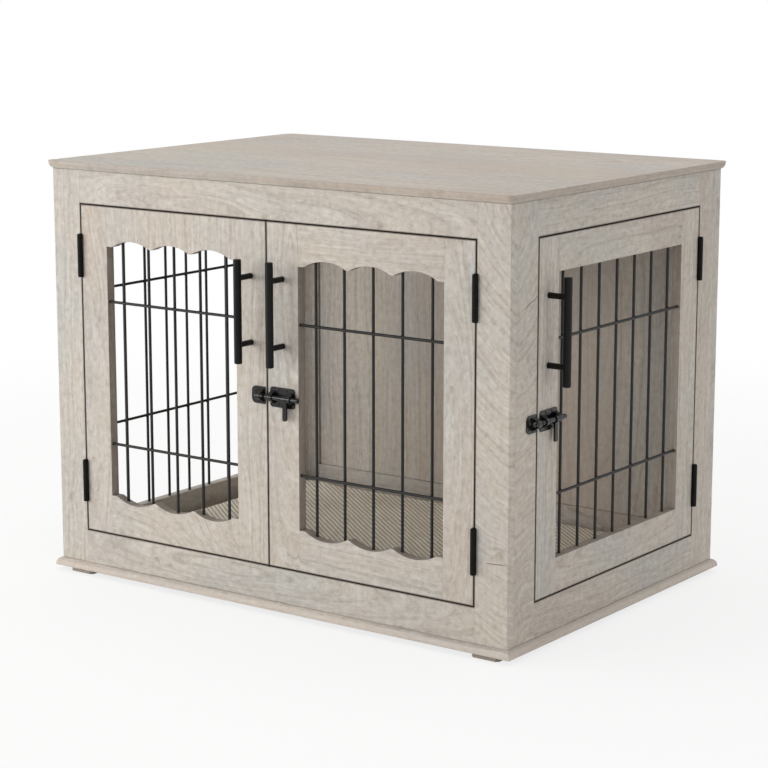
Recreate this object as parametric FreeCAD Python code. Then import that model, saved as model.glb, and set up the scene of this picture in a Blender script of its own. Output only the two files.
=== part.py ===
"""Dog crate end table.

A low wooden cabinet on four feet: a moulded top and base slab, a framed front with two
scalloped doors, a framed right side with one door, a barred left side, a panelled back,
black wire grilles, butt hinges, bar pulls and slide bolts, and a mat on the floor.

The model is laid out about the middle of the body, with Z = 0 on the floor, -Y to the front
and +X to the side with the door. It is moved at the end so that the origin lies on the floor
under the middle of the whole outline, pulls included. All sizes are millimetres.
"""
import FreeCAD
import Part
import math
import os
from FreeCAD import Vector

# ---- cabinet ----
BODY_WIDTH = 824.0
BODY_DEPTH = 580.0
BODY_HEIGHT = 630.0            # underside of the base slab to the table top
SLAB_THICKNESS = 12.0          # top and base slabs
SLAB_OVERHANG = 8.0
SLAB_MOULD_RADIUS = 10.0       # quarter round along the slab edges
TOP_CORNER_RADIUS = 12.0
BOARD = 15.0                   # front and side frames and all doors
BACK_FRAME_THICKNESS = 12.0
BACK_PANEL_THICKNESS = 5.0
BACK_PANEL_GROOVE = 8.0        # how deep the back panel sits in its frame
FRONT_POST_WIDTH = 54.0
SIDE_POST_WIDTH = 52.0
BACK_STILE_WIDTH = 67.0
BOTTOM_RAIL_HEIGHT = 50.8
TOP_RAIL_HEIGHT = 49.6
CORNER_EASE = 1.2              # rounding of the long outer corners

# ---- flats that stand for a round on small stock ----
WIRE_SIDES = 12
SOCKET_SIDES = 6
FITTING_SIDES = 16
BOLT_SIDES = 24
BAR_SIDES = 20

FOOT_HEIGHT = 8.0
FOOT_SIDE = 45.0
FOOT_CORNER_CHAMFER = 4.0
FOOT_INSET_SIDES = 15.0        # from the body's left and right faces
FOOT_INSET_FRONT = 0.0
FOOT_INSET_BACK = 30.0

# ---- doors ----
DOOR_GAP = 2.0
FRONT_HINGE_STILE = 50.5
FRONT_LATCH_STILE = 55.5
SIDE_STILE = 51.5
SCALLOPED_RAIL = 60.0          # at the shoulders and cusps
SIDE_DOOR_RAIL = 50.2
SCALLOP_COUNT = 3
SCALLOP_DEPTH = 10.5
SCALLOP_SHOULDER = 10.5
SCALLOP_CUSP_RADIUS = 7.0
STOP_LENGTH = 70.0
STOP_THICKNESS = 12.0
STOP_LAP = 8.0                 # how far a stop reaches behind its door

# ---- joints between the boards ----
TONGUE_LENGTH = 8.0
TONGUE_THICKNESS = 5.0
TONGUE_SHOULDER = 10.0
TONGUE_END_CLEARANCE = 0.3
SCREW_RADIUS = 2.2
SCREW_LENGTH = 40.0
SCREW_HEAD_RADIUS = 4.5
SCREW_HEAD_HEIGHT = 2.5
DOWEL_RADIUS = 3.2
DOWEL_LENGTH = 26.0
DOWEL_IN_TOP = 7.5
FASTENER_FROM_EDGE = 12.0      # along the board, from its free edge

# ---- wire grilles ----
WIRE_DIAMETER = 4.2
WIRE_PITCH = 49.5
WIRE_HOLE_CLEARANCE = 0.1
WIRE_SEAT = 8.0                # how deep a wire end sits in the wood
CROSS_WIRE_DEPTH = 5.2         # wire centre behind the outer face
CROSS_WIRE_FROM_BOTTOM = 140.0
CROSS_WIRE_FROM_TOP = 143.5

# ---- butt hinges ----
HINGE_LENGTH = 63.0
HINGE_FROM_DOOR_END = 77.0     # hinge centre to the door's top or bottom edge
HINGE_PROUD = 3.0              # pin axis in front of the door face
KNUCKLE_RADIUS = 4.0
MIDDLE_KNUCKLE = 24.0
KNUCKLE_END_GAP = 0.3
HINGE_PIN_RADIUS = 2.0
HINGE_PIN_CLEARANCE = 0.05
HINGE_PIN_HEAD_RADIUS = 3.3
HINGE_PIN_HEAD_HEIGHT = 1.2
LEAF_THICKNESS = 1.2
LEAF_MORTISE = 0.6
LEAF_REACH = 13.0
BARREL_RELIEF = 0.4

# ---- bar pulls ----
PULL_LENGTH = 150.0
PULL_BAR_RADIUS = 5.8
PULL_POST_RADIUS = 4.2
PULL_POST_SPACING = 96.0
PULL_STANDOFF = 30.0           # bar axis in front of the door face
PULL_BELOW_DOOR_TOP = 128.0    # pull centre
PULL_END_CHAMFER = 1.0

# ---- slide bolts ----
BOLT_PLATE_THICKNESS = 1.5
BOLT_PLATE_LENGTH = 44.0
BOLT_PLATE_HEIGHT = 29.0
BOLT_PLATE_CORNER = 4.0
BOLT_PLATE_FROM_GAP = 6.0      # plate end to the middle of the gap
BOLT_AXIS_HEIGHT = 7.2         # bolt axis in front of the face
BOLT_RADIUS = 3.5
BOLT_LENGTH = 61.0
BOLT_TIP_CHAMFER = 1.2
BOLT_FIT = 0.08
BOLT_TIP_FROM_GAP = 0.8        # bolt drawn back
GUIDE_WALL = 1.6
GUIDE_LENGTH = 7.0
GUIDE_FROM_PLATE_END = 2.0
GUIDE_FOOT = 9.5               # half height of a guide where it meets its plate
LEVER_EYE_RADIUS = 5.2
LEVER_WIDTH = 7.0
LEVER_THICKNESS = 3.0
LEVER_LENGTH = 32.0
LEVER_GROOVE_RADIUS = 2.5
LEVER_FIT = 0.08
LEVER_SIDE_PLAY = 0.1
LEVER_STOP_PLAY = 0.4          # lever to guide at each end of its slide
KEEPER_PLATE_LENGTH = 24.0
KEEPER_PLATE_HEIGHT = 25.0
KEEPER_PLATE_CORNER = 7.0
KEEPER_FROM_GAP = 3.5
KEEPER_GUIDE_LENGTH = 9.0
KEEPER_PLAY = 0.6

# ---- mat ----
MAT_MARGIN = 13.0              # mat to the inner faces of the cabinet
MAT_CORNER_RADIUS = 34.0
MAT_WIDEST_HEIGHT = 11.0       # these four above the base slab
MAT_EDGE_HEIGHT = 27.0
MAT_SHOULDER_HEIGHT = 31.0
MAT_CROWN_HEIGHT = 32.5
MAT_LIFT = 0.3
MAT_DRAWN_IN = 7.0             # seam at the foot of the sides, inside the widest line
MAT_CROWN_INSET = 150.0        # where the crown levels off

# ---- levels and faces that follow from the sizes above ----
HALF_WIDTH = BODY_WIDTH / 2
HALF_DEPTH = BODY_DEPTH / 2
BASE_TOP = FOOT_HEIGHT + SLAB_THICKNESS
TABLE_TOP = FOOT_HEIGHT + BODY_HEIGHT
TOP_UNDERSIDE = TABLE_TOP - SLAB_THICKNESS
BOTTOM_RAIL_TOP = BASE_TOP + BOTTOM_RAIL_HEIGHT
TOP_RAIL_BOTTOM = TOP_UNDERSIDE - TOP_RAIL_HEIGHT
DOOR_BOTTOM = BOTTOM_RAIL_TOP + DOOR_GAP
DOOR_TOP = TOP_RAIL_BOTTOM - DOOR_GAP
DOOR_MIDDLE = (DOOR_BOTTOM + DOOR_TOP) / 2
FRONT_BOARD_BACK = -HALF_DEPTH + BOARD
BACK_BOARD_FRONT = HALF_DEPTH - BACK_FRAME_THICKNESS
SIDE_BOARD_INSIDE = HALF_WIDTH - BOARD
FRONT_POST_EDGE = HALF_WIDTH - FRONT_POST_WIDTH
SIDE_FRONT_POST_EDGE = FRONT_BOARD_BACK + SIDE_POST_WIDTH
SIDE_REAR_POST_EDGE = BACK_BOARD_FRONT - SIDE_POST_WIDTH
FRONT_DOOR_WIDTH = FRONT_POST_EDGE - DOOR_GAP - DOOR_GAP / 2
SIDE_DOOR_WIDTH = SIDE_REAR_POST_EDGE - SIDE_FRONT_POST_EDGE - 2 * DOOR_GAP
WIRE_RADIUS = WIRE_DIAMETER / 2
UPRIGHT_WIRE_DEPTH = CROSS_WIRE_DEPTH + WIRE_DIAMETER
CROSS_WIRE_LEVELS = (DOOR_BOTTOM + CROSS_WIRE_FROM_BOTTOM, DOOR_TOP - CROSS_WIRE_FROM_TOP)
HINGE_LEVELS = (DOOR_BOTTOM + HINGE_FROM_DOOR_END, DOOR_TOP - HINGE_FROM_DOOR_END)
PULL_LEVEL = DOOR_TOP - PULL_BELOW_DOOR_TOP

X_AXIS = Vector(1, 0, 0)
Y_AXIS = Vector(0, 1, 0)
Z_AXIS = Vector(0, 0, 1)
ORIGIN = Vector(0, 0, 0)


# ---- small shape helpers ----
def block(x_span, y_span, z_span):
    """A board between two planes each way."""
    size = [high - low for low, high in (x_span, y_span, z_span)]
    corner = Vector(x_span[0], y_span[0], z_span[0])
    return Part.makeBox(size[0], size[1], size[2], corner)


def flats(centre, axis, radius, sides, over_flats=False):
    """A regular outline round an axis, a flat square to each other axis."""
    corner_radius = radius / math.cos(math.pi / sides) if over_flats else radius
    across = Y_AXIS if abs(axis.x) > 0.5 else X_AXIS
    up = axis.cross(across)
    corners = []
    for number in range(sides):
        angle = (number + 0.5) * 2 * math.pi / sides
        arm = across * math.cos(angle) + up * math.sin(angle)
        corners.append(centre + arm * corner_radius)
    return Part.makePolygon(corners + corners[:1])


def stock(start, axis, length, radius, sides, over_flats=False):
    """Round stock drawn with flats: its corners on the radius, or its flats."""
    return Part.Face(flats(start, axis, radius, sides, over_flats)).extrude(axis * length)


def chamfered_stock(start, axis, length, radius, chamfer, sides):
    """Round stock with both ends chamfered."""
    plain = stock(start, axis, length, radius, sides)
    ends = [edge for edge in plain.Edges if abs(edge.tangentAt(edge.FirstParameter).dot(axis)) < 0.5]
    return plain.makeChamfer(chamfer, ends)


def edges_along(shape, axis, keep):
    """Straight edges parallel to an axis whose middle passes the test."""
    found = []
    for edge in shape.Edges:
        if not isinstance(edge.Curve, Part.Line):
            continue
        along = edge.Vertexes[-1].Point - edge.Vertexes[0].Point
        if abs(along.normalize().dot(axis)) < 0.999:
            continue
        if keep(edge.CenterOfMass):
            found.append(edge)
    return found


def eased(shape, axis, keep, radius=CORNER_EASE):
    """Round the edges along an axis that pass the test."""
    return shape.makeFillet(radius, edges_along(shape, axis, keep))


def rounded_slab(x_span, y_span, z_span, corner_radius):
    slab = block(x_span, y_span, z_span)
    return eased(slab, Z_AXIS, lambda middle: True, corner_radius)


def mirrored(shape):
    """The same piece on the other side of the cabinet."""
    return shape.mirror(ORIGIN, X_AXIS)


def group(shapes):
    return Part.makeCompound(shapes)


# ---- places where the repeated fittings go ----
def at_right_door(shape):
    """From the door's own frame to the right front door."""
    return shape.translated(Vector(FRONT_POST_EDGE - DOOR_GAP / 2, -HALF_DEPTH, 0))


def at_left_door(shape):
    return mirrored(at_right_door(shape))


def at_side_door(shape):
    """From the door's own frame to the door in the right side."""
    turned = shape.rotated(ORIGIN, Z_AXIS, 90)
    return turned.translated(Vector(HALF_WIDTH, SIDE_REAR_POST_EDGE - DOOR_GAP / 2, 0))


def at_front_latch(shape):
    """From the latch's own frame to the gap between the front doors."""
    return shape.translated(Vector(0, -HALF_DEPTH, DOOR_MIDDLE))


def at_side_latch(shape):
    turned = shape.rotated(ORIGIN, Z_AXIS, 90)
    return turned.translated(Vector(HALF_WIDTH, SIDE_FRONT_POST_EDGE + DOOR_GAP / 2, DOOR_MIDDLE))


# ---- top, base and feet ----
def moulded_bar(half_length, half_width, z_span, along_x):
    """A long bar with a quarter round on both upper edges."""
    if along_x:
        bar = block((-half_length, half_length), (-half_width, half_width), z_span)
        axis = X_AXIS
    else:
        bar = block((-half_width, half_width), (-half_length, half_length), z_span)
        axis = Y_AXIS
    return eased(bar, axis, lambda middle: middle.z > z_span[1] - 0.01, SLAB_MOULD_RADIUS)


def base_panel():
    """Two crossed mouldings meet at mitred corners."""
    half_x = HALF_WIDTH + SLAB_OVERHANG
    half_y = HALF_DEPTH + SLAB_OVERHANG
    levels = (FOOT_HEIGHT, BASE_TOP)
    return moulded_bar(half_x, half_y, levels, True).common(moulded_bar(half_y, half_x, levels, False))


def top_panel():
    half_x = HALF_WIDTH + SLAB_OVERHANG
    half_y = HALF_DEPTH + SLAB_OVERHANG
    slab = rounded_slab((-half_x, half_x), (-half_y, half_y), (TOP_UNDERSIDE, TABLE_TOP), TOP_CORNER_RADIUS)
    under = [edge for edge in slab.Edges if edge.CenterOfMass.z < TOP_UNDERSIDE + 0.01]
    return slab.makeFillet(SLAB_MOULD_RADIUS, under)


def feet():
    outer = HALF_WIDTH - FOOT_INSET_SIDES
    front = -HALF_DEPTH + FOOT_INSET_FRONT
    back = HALF_DEPTH - FOOT_INSET_BACK
    pads = []
    for y_low in (front, back - FOOT_SIDE):
        pad = block((outer - FOOT_SIDE, outer), (y_low, y_low + FOOT_SIDE), (0, FOOT_HEIGHT))
        pad = pad.makeChamfer(FOOT_CORNER_CHAMFER, edges_along(pad, Z_AXIS, lambda middle: True))
        pads += [pad, mirrored(pad)]
    return group(pads)


# ---- boards of the cabinet ----
def tongued_rail(span, across, z_span, along_x, z_tongue=None):
    """A rail whose ends carry a tongue in the middle of its thickness."""
    z_low, z_high = z_tongue or z_span
    middle = (across[0] + across[1]) / 2
    half = TONGUE_THICKNESS / 2
    tongue_span = (span[0] - TONGUE_LENGTH, span[1] + TONGUE_LENGTH)
    tongue_across = (middle - half, middle + half)
    tongue_z = (z_low + TONGUE_SHOULDER, z_high - TONGUE_SHOULDER)
    if along_x:
        return block(span, across, z_span).fuse(block(tongue_span, tongue_across, tongue_z)).removeSplitter()
    return block(across, span, z_span).fuse(block(tongue_across, tongue_span, tongue_z)).removeSplitter()


def tongue_slots(span, across, levels, along_x):
    """The hollows that the tongues of the rails at some levels seat in."""
    middle = (across[0] + across[1]) / 2
    half = TONGUE_THICKNESS / 2
    reach = TONGUE_LENGTH + TONGUE_END_CLEARANCE
    slot_span = (span[0] - reach, span[1] + reach)
    slot_across = (middle - half, middle + half)
    slots = []
    for low, high in levels:
        slot_z = (low + TONGUE_SHOULDER, high - TONGUE_SHOULDER)
        if along_x:
            slots.append(block(slot_span, slot_across, slot_z))
        else:
            slots.append(block(slot_across, slot_span, slot_z))
    return slots


CABINET_RAIL_LEVELS = ((BASE_TOP, BOTTOM_RAIL_TOP), (TOP_RAIL_BOTTOM, TOP_UNDERSIDE))
FRONT_RAIL_SPAN = (-FRONT_POST_EDGE, FRONT_POST_EDGE)
FRONT_BOARD_SPAN = (-HALF_DEPTH, FRONT_BOARD_BACK)
SIDE_RAIL_SPAN = (SIDE_FRONT_POST_EDGE, SIDE_REAR_POST_EDGE)
SIDE_BOARD_SPAN = (SIDE_BOARD_INSIDE, HALF_WIDTH)
BACK_STILE_EDGE = HALF_WIDTH - BACK_STILE_WIDTH
BACK_RAIL_SPAN = (-BACK_STILE_EDGE, BACK_STILE_EDGE)
BACK_BOARD_SPAN = (BACK_BOARD_FRONT, HALF_DEPTH)
POST_LEVELS = (BASE_TOP, TOP_UNDERSIDE)


def base_screw_places():
    """Where the base is screwed to the posts, right half of the cabinet."""
    return [Vector(HALF_WIDTH - BOARD - FASTENER_FROM_EDGE, -HALF_DEPTH + BOARD / 2, 0),
            Vector(HALF_WIDTH - BOARD / 2, SIDE_FRONT_POST_EDGE - 2 * FASTENER_FROM_EDGE, 0),
            Vector(HALF_WIDTH - BOARD / 2, SIDE_REAR_POST_EDGE + 2 * FASTENER_FROM_EDGE, 0),
            Vector(HALF_WIDTH - BOARD - FASTENER_FROM_EDGE, HALF_DEPTH - BACK_FRAME_THICKNESS / 2, 0)]


def base_screws():
    """Screws up through the base into the posts, their heads sunk level with its underside."""
    screws = []
    for place in base_screw_places():
        place = Vector(place.x, place.y, FOOT_HEIGHT)
        head = stock(place, Z_AXIS, SCREW_HEAD_HEIGHT, SCREW_HEAD_RADIUS, SOCKET_SIDES)
        screw = head.fuse(stock(place, Z_AXIS, SCREW_LENGTH, SCREW_RADIUS, SOCKET_SIDES)).removeSplitter()
        screws += [screw, mirrored(screw)]
    return screws


def top_dowels():
    """Dowels between the posts and the table top, over the base screws."""
    start = TOP_UNDERSIDE + DOWEL_IN_TOP - DOWEL_LENGTH
    dowels = []
    for place in base_screw_places():
        dowel = stock(Vector(place.x, place.y, start), Z_AXIS, DOWEL_LENGTH, DOWEL_RADIUS, SOCKET_SIDES)
        dowels += [dowel, mirrored(dowel)]
    return dowels


def front_post():
    """Right front post: full height, with hinge seats and rail slots in its inner edge."""
    post = block((FRONT_POST_EDGE, HALF_WIDTH), FRONT_BOARD_SPAN, POST_LEVELS)
    post = eased(post, Z_AXIS, lambda middle: middle.x > HALF_WIDTH - 1 and middle.y < -HALF_DEPTH + 1)
    cuts = tongue_slots(FRONT_RAIL_SPAN, FRONT_BOARD_SPAN, CABINET_RAIL_LEVELS, True)
    cuts += [at_right_door(cut) for cut in hinge_cuts(frame_side=True)]
    return post.cut(cuts)


def front_rail(levels):
    return tongued_rail(FRONT_RAIL_SPAN, FRONT_BOARD_SPAN, levels, True)


def side_front_post():
    post = block(SIDE_BOARD_SPAN, (FRONT_BOARD_BACK, SIDE_FRONT_POST_EDGE), POST_LEVELS)
    return post.cut(tongue_slots(SIDE_RAIL_SPAN, SIDE_BOARD_SPAN, CABINET_RAIL_LEVELS, False))


def side_rear_post():
    post = block(SIDE_BOARD_SPAN, (SIDE_REAR_POST_EDGE, BACK_BOARD_FRONT), POST_LEVELS)
    return post.cut(tongue_slots(SIDE_RAIL_SPAN, SIDE_BOARD_SPAN, CABINET_RAIL_LEVELS, False))


def side_rail(levels):
    return tongued_rail(SIDE_RAIL_SPAN, SIDE_BOARD_SPAN, levels, False)


def back_panel():
    """Thin panel whose edges sit in grooves all round."""
    half_x = BACK_STILE_EDGE + BACK_PANEL_GROOVE
    y_middle = (BACK_BOARD_SPAN[0] + BACK_BOARD_SPAN[1]) / 2
    y_span = (y_middle - BACK_PANEL_THICKNESS / 2, y_middle + BACK_PANEL_THICKNESS / 2)
    z_span = (BOTTOM_RAIL_TOP - BACK_PANEL_GROOVE, TOP_RAIL_BOTTOM + BACK_PANEL_GROOVE)
    return block((-half_x, half_x), y_span, z_span)


def back_stile():
    stile = block((BACK_STILE_EDGE, HALF_WIDTH), BACK_BOARD_SPAN, POST_LEVELS)
    stile = eased(stile, Z_AXIS, lambda middle: middle.x > HALF_WIDTH - 1 and middle.y > HALF_DEPTH - 1)
    cuts = tongue_slots(BACK_RAIL_SPAN, BACK_BOARD_SPAN, CABINET_RAIL_LEVELS, True)
    return stile.cut(cuts + [back_panel()])


def back_rail(levels):
    return tongued_rail(BACK_RAIL_SPAN, BACK_BOARD_SPAN, levels, True).cut(back_panel())


def door_stops():
    """Blocks behind the rails that the closed doors come to rest against."""
    y_span = (FRONT_BOARD_BACK, FRONT_BOARD_BACK + STOP_THICKNESS)
    x_span = (SIDE_BOARD_INSIDE - STOP_THICKNESS, SIDE_BOARD_INSIDE)
    low = (BASE_TOP, DOOR_BOTTOM + STOP_LAP)
    high = (DOOR_TOP - STOP_LAP, TOP_UNDERSIDE)
    side_start = SIDE_FRONT_POST_EDGE
    stops = []
    for levels in (low, high):
        stops.append(block((-STOP_LENGTH / 2, STOP_LENGTH / 2), y_span, levels))
        stops.append(block(x_span, (side_start, side_start + STOP_LENGTH), levels))
    return group(stops)


# ---- wire grilles ----
def wire_places(low, high):
    """Evenly spaced places across an opening, about one pitch apart."""
    count = round((high - low) / WIRE_PITCH)
    step = (high - low) / count
    return [low + step * (number + 0.5) for number in range(count)]


def grille_wires(opening, z_span, radius, over, sides):
    """Upright and cross wires in a panel whose face is Y = 0, longer than the opening by a seat."""
    seat = WIRE_SEAT + over
    length = z_span[1] - z_span[0] + 2 * seat
    feet_of_wires = [Vector(place, UPRIGHT_WIRE_DEPTH, z_span[0] - seat)
                     for place in wire_places(opening[0], opening[1])]
    uprights = [stock(foot, Z_AXIS, length, radius, sides, True) for foot in feet_of_wires]
    width = opening[1] - opening[0] + 2 * seat
    crosses = [stock(Vector(opening[0] - seat, CROSS_WIRE_DEPTH, level), X_AXIS, width, radius, sides, True)
               for level in CROSS_WIRE_LEVELS]
    return uprights + crosses


def grille(opening, z_span):
    """The wires welded into one piece where they cross."""
    wires = grille_wires(opening, z_span, WIRE_RADIUS, 0, WIRE_SIDES)
    return wires[0].multiFuse(wires[1:])


def grille_holes(opening, z_span):
    """The sockets that the wires' ends sit in."""
    radius = WIRE_RADIUS + WIRE_HOLE_CLEARANCE
    return grille_wires(opening, z_span, radius, TONGUE_END_CLEARANCE, SOCKET_SIDES)


# ---- butt hinges, in the door's own frame: the middle of the hinge gap is X = 0 ----
def hinge_axis(level):
    return Vector(0, -HINGE_PROUD, level)


def knuckle(z_span):
    """A rolled knuckle bored for the pin."""
    foot = Vector(0, -HINGE_PROUD, z_span[0])
    length = z_span[1] - z_span[0]
    outside = stock(foot, Z_AXIS, length, KNUCKLE_RADIUS, FITTING_SIDES)
    bore = stock(foot, Z_AXIS, length, HINGE_PIN_RADIUS + HINGE_PIN_CLEARANCE, WIRE_SIDES, True)
    return outside.cut(bore)


def knuckle_spans(level):
    """Lower, middle and upper knuckle of the hinge at a level."""
    half = HINGE_LENGTH / 2
    inner = MIDDLE_KNUCKLE / 2
    lower = (level - half, level - inner - KNUCKLE_END_GAP)
    upper = (level + inner + KNUCKLE_END_GAP, level + half)
    return lower, (level - inner, level + inner), upper


def leaf(level, side, own_spans, other_spans):
    """A flat leaf in the hinge gap, cut back where the other leaf's knuckles turn."""
    inner = DOOR_GAP / 2 - (LEAF_THICKNESS - LEAF_MORTISE)
    outer = inner + LEAF_THICKNESS
    x_span = (inner, outer) if side > 0 else (-outer, -inner)
    start = -HINGE_PROUD + (HINGE_PIN_RADIUS + KNUCKLE_RADIUS) / 2
    half = HINGE_LENGTH / 2
    plate = block(x_span, (start, LEAF_REACH), (level - half, level + half))
    reach = KNUCKLE_RADIUS + BARREL_RELIEF
    for low, high in other_spans:
        notch = (low - KNUCKLE_END_GAP, high + KNUCKLE_END_GAP)
        foot = Vector(0, -HINGE_PROUD, notch[0])
        plate = plate.cut(stock(foot, Z_AXIS, notch[1] - notch[0], reach, FITTING_SIDES, True))
    return plate.multiFuse([knuckle(span) for span in own_spans]).removeSplitter()


def frame_leaf(level):
    lower, middle, upper = knuckle_spans(level)
    return leaf(level, 1, (lower, upper), (middle,))


def door_leaf(level):
    lower, middle, upper = knuckle_spans(level)
    return leaf(level, -1, (middle,), (lower, upper))


def hinge_pin(level):
    half = HINGE_LENGTH / 2
    foot = hinge_axis(level - half - HINGE_PIN_HEAD_HEIGHT)
    pin = Part.makeCylinder(HINGE_PIN_RADIUS, HINGE_LENGTH + 2 * HINGE_PIN_HEAD_HEIGHT, foot, Z_AXIS)
    heads = [stock(start, Z_AXIS, HINGE_PIN_HEAD_HEIGHT, HINGE_PIN_HEAD_RADIUS, WIRE_SIDES)
             for start in (foot, hinge_axis(level + half))]
    return pin.multiFuse(heads).removeSplitter()


def hinge_cuts(frame_side):
    """Seats of both leaves and the scoop round both barrels, in post or door edge."""
    depth = DOOR_GAP / 2 + LEAF_MORTISE
    x_span = (0, depth) if frame_side else (-depth, 0)
    half = HINGE_LENGTH / 2
    over = HINGE_PIN_HEAD_HEIGHT + BARREL_RELIEF
    cuts = []
    for level in HINGE_LEVELS:
        cuts.append(block(x_span, (0, LEAF_REACH), (level - half, level + half)))
        foot = hinge_axis(level - half - over)
        cuts.append(stock(foot, Z_AXIS, HINGE_LENGTH + 2 * over, KNUCKLE_RADIUS + BARREL_RELIEF,
                          FITTING_SIDES, True))
    return cuts


# ---- doors, in their own frame: face at Y = 0, hinge gap at X = 0, latch towards -X ----
def scallop_edge(opening, level, rise):
    """The rail's wavy edge as a wire from right to left: shoulders and bulging arches."""
    low, high = opening
    pitch = (high - low - 2 * SCALLOP_SHOULDER) / SCALLOP_COUNT
    pieces = [Part.LineSegment(Vector(low, 0, level), Vector(low + SCALLOP_SHOULDER, 0, level))]
    for number in range(SCALLOP_COUNT):
        start = low + SCALLOP_SHOULDER + number * pitch
        peak = Vector(start + pitch / 2, 0, level + rise)
        pieces.append(Part.Arc(Vector(start, 0, level), peak, Vector(start + pitch, 0, level)))
    pieces.append(Part.LineSegment(Vector(high - SCALLOP_SHOULDER, 0, level), Vector(high, 0, level)))
    return [piece.toShape() for piece in pieces]


def scalloped_cut(opening, z_span):
    """The opening between the rails of a front door, with arches above and below."""
    low, high = opening
    bottom = scallop_edge(opening, z_span[0], -SCALLOP_DEPTH)
    top = scallop_edge(opening, z_span[1], SCALLOP_DEPTH)
    left = Part.LineSegment(Vector(low, 0, z_span[0]), Vector(low, 0, z_span[1])).toShape()
    right = Part.LineSegment(Vector(high, 0, z_span[0]), Vector(high, 0, z_span[1])).toShape()
    outline = Part.Wire(Part.__sortEdges__(bottom + [right] + top + [left]))
    return Part.Face(outline).extrude(Vector(0, BOARD, 0))


def softened_cusps(rail, opening, level):
    """Round the points between the arches and where the arches leave the shoulders."""
    low, high = opening
    inside = lambda middle: abs(middle.z - level) < 0.01 and low + 1 < middle.x < high - 1
    return eased(rail, Y_AXIS, inside, SCALLOP_CUSP_RADIUS)


def door(width, hinge_stile, latch_stile, rail, scalloped):
    """All pieces of one door by name."""
    hinge_edge = -DOOR_GAP / 2
    latch_edge = hinge_edge - width
    opening = (latch_edge + latch_stile, hinge_edge - hinge_stile)
    thickness = (0, BOARD)
    levels = (DOOR_BOTTOM, DOOR_TOP)
    low_rail = (DOOR_BOTTOM, DOOR_BOTTOM + rail)
    high_rail = (DOOR_TOP - rail, DOOR_TOP)
    clear = (low_rail[1], high_rail[0])
    grille_z = clear
    bottom = tongued_rail(opening, thickness, low_rail, True)
    top = tongued_rail(opening, thickness, high_rail, True)
    if scalloped:
        cut = scalloped_cut(opening, clear)
        bottom = softened_cusps(bottom.cut(cut), opening, clear[0])
        top = softened_cusps(top.cut(cut), opening, clear[1])
        grille_z = (clear[0] - SCALLOP_DEPTH, clear[1] + SCALLOP_DEPTH)
    holes = grille_holes(opening, grille_z)
    slots = tongue_slots(opening, thickness, (low_rail, high_rail), True)
    hinge_side = block((opening[1], hinge_edge), thickness, levels)
    latch_side = block((latch_edge, opening[0]), thickness, levels)
    return {
        "hinge_stile": hinge_side.cut(slots + holes + hinge_cuts(frame_side=False)),
        "latch_stile": latch_side.cut(slots + holes),
        "bottom_rail": bottom.cut(holes),
        "top_rail": top.cut(holes),
        "grille": grille(opening, grille_z),
        "hinge_leaves": group([door_leaf(level) for level in HINGE_LEVELS]),
        "pull_bar": pull_bar(latch_edge + latch_stile / 2),
        "pull_posts": pull_posts(latch_edge + latch_stile / 2),
    }


# ---- bar pulls ----
def pull_bar(across):
    foot = Vector(across, -PULL_STANDOFF, PULL_LEVEL - PULL_LENGTH / 2)
    return chamfered_stock(foot, Z_AXIS, PULL_LENGTH, PULL_BAR_RADIUS, PULL_END_CHAMFER, BAR_SIDES)


def pull_posts(across):
    """Two round posts whose outer ends are hollowed to fit the bar."""
    posts = []
    for side in (-1, 1):
        level = PULL_LEVEL + side * PULL_POST_SPACING / 2
        post = stock(Vector(across, 0, level), -Y_AXIS, PULL_STANDOFF, PULL_POST_RADIUS, FITTING_SIDES)
        posts.append(post.cut(pull_bar(across)))
    return group(posts)


# ---- slide bolts, in their own frame: gap at X = 0, bolt plate towards +X, bolt axis at Z = 0 ----
GUIDE_STARTS = (BOLT_PLATE_FROM_GAP + GUIDE_FROM_PLATE_END,
                BOLT_PLATE_FROM_GAP + BOLT_PLATE_LENGTH - GUIDE_FROM_PLATE_END - GUIDE_LENGTH)
LEVER_END = GUIDE_STARTS[1] - LEVER_STOP_PLAY
LEVER_START = LEVER_END - LEVER_WIDTH
BOLT_TRAVEL = LEVER_START - (GUIDE_STARTS[0] + GUIDE_LENGTH + LEVER_STOP_PLAY)
KEEPER_GUIDE_START = -KEEPER_FROM_GAP - GUIDE_FROM_PLATE_END - KEEPER_GUIDE_LENGTH


def backplate(x_span, height, corner):
    """A pressed plate with rounded corners, flat on the wood."""
    blank = block(x_span, (-BOLT_PLATE_THICKNESS, 0), (-height / 2, height / 2))
    return eased(blank, Y_AXIS, lambda middle: True, corner)


def guide(start, length, bore_radius):
    """A saddle over the bolt: round on top, its flanks running tangent down to the plate."""
    outer = bore_radius + GUIDE_WALL
    rise = BOLT_AXIS_HEIGHT - BOLT_PLATE_THICKNESS
    reach = math.hypot(GUIDE_FOOT, rise)
    # the tangent from the guide's foot to its round top
    turn = math.atan2(rise, GUIDE_FOOT) + math.asin(outer / reach)
    touch_z = outer * math.sin(turn)
    touch_y = -BOLT_AXIS_HEIGHT - outer * math.cos(turn)
    foot_y = -BOLT_PLATE_THICKNESS
    right = Vector(start, touch_y, touch_z)
    left = Vector(start, touch_y, -touch_z)
    crown = Part.Arc(left, Vector(start, -BOLT_AXIS_HEIGHT - outer, 0), right).toShape()
    right_foot = Vector(start, foot_y, GUIDE_FOOT)
    left_foot = Vector(start, foot_y, -GUIDE_FOOT)
    sides = [Part.LineSegment(right, right_foot).toShape(),
             Part.LineSegment(right_foot, left_foot).toShape(),
             Part.LineSegment(left_foot, left).toShape()]
    saddle = Part.Face(Part.Wire([crown] + sides)).extrude(Vector(length, 0, 0))
    return saddle.cut(stock(bolt_axis(start), X_AXIS, length, bore_radius, BOLT_SIDES, True))


def bolt_axis(x):
    return Vector(x, -BOLT_AXIS_HEIGHT, 0)


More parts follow.
